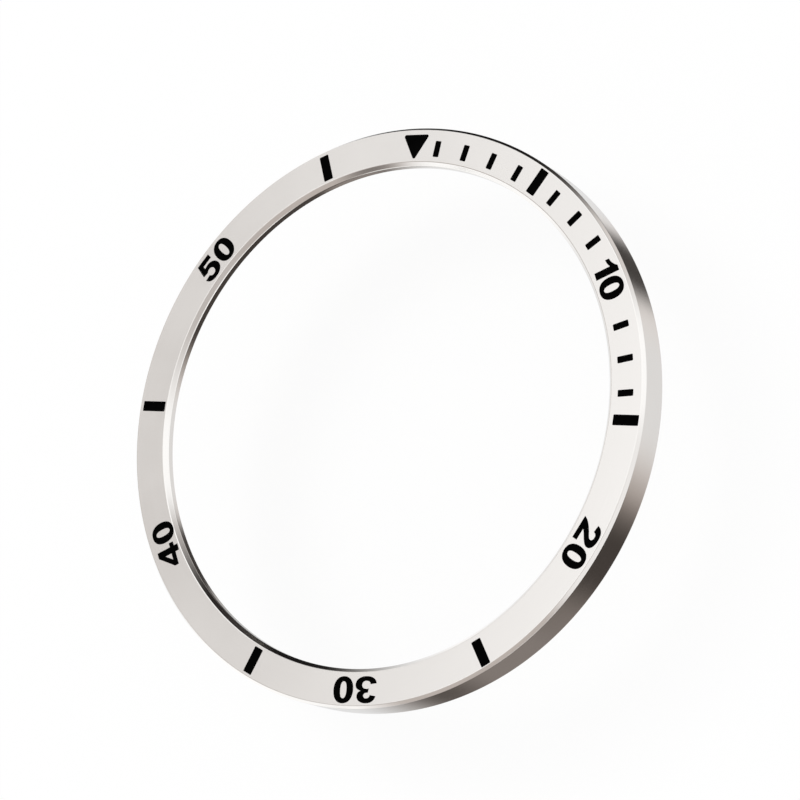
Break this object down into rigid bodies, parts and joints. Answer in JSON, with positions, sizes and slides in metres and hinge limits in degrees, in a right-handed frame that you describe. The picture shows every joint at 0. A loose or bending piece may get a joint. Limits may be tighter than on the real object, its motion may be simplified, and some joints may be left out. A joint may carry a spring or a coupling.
{
  "type": "smartwatch bezel ring",
  "caption": "Flat steel ring with a short outer skirt and an engraved, black-filled minute scale, stuck over a round smartwatch's bezel.",
  "frame": {"origin": "on the ring's axis, in the plane of the skirt's foot", "axes": "+Z out of the dial face, +Y towards the 12 o'clock triangle, +X towards 3 o'clock"},
  "size_m": [0.0444, 0.0444, 0.0029],
  "materials": {
    "polished_steel": "satin face, polished bevels and outer wall",
    "black_enamel": "black enamel baked into the engraving",
    "adhesive_tape": "double-sided adhesive foam tape",
    "liner_paper": "siliconised release paper"
  },
  "bodies": {
    "bezel": {"bezel_ring": "polished_steel", "adhesive_ring": "adhesive_tape", "triangle_infill_00": "black_enamel", "bar_infill_05": "black_enamel", "bar_infill_15": "black_enamel", "bar_infill_25": "black_enamel", "bar_infill_35": "black_enamel", "bar_infill_45": "black_enamel", "bar_infill_55": "black_enamel", "tick_infill_01": "black_enamel", "tick_infill_02": "black_enamel", "tick_infill_03": "black_enamel", "tick_infill_04": "black_enamel", "tick_infill_06": "black_enamel", "tick_infill_07": "black_enamel", "tick_infill_08": "black_enamel", "tick_infill_12": "black_enamel", "tick_infill_13": "black_enamel", "tick_infill_14": "black_enamel", "numeral_infill_10": "black_enamel", "numeral_infill_20": "black_enamel", "numeral_infill_30": "black_enamel", "numeral_infill_40": "black_enamel", "numeral_infill_50": "black_enamel"},
    "liner": {"release_liner": "liner_paper"}
  },
  "joints": [
    {"name": "liner_peel", "type": "slide", "parent": "bezel", "child": "liner", "axis": [0, 0, -1], "range_m": [0, 0.01]}
  ]
}
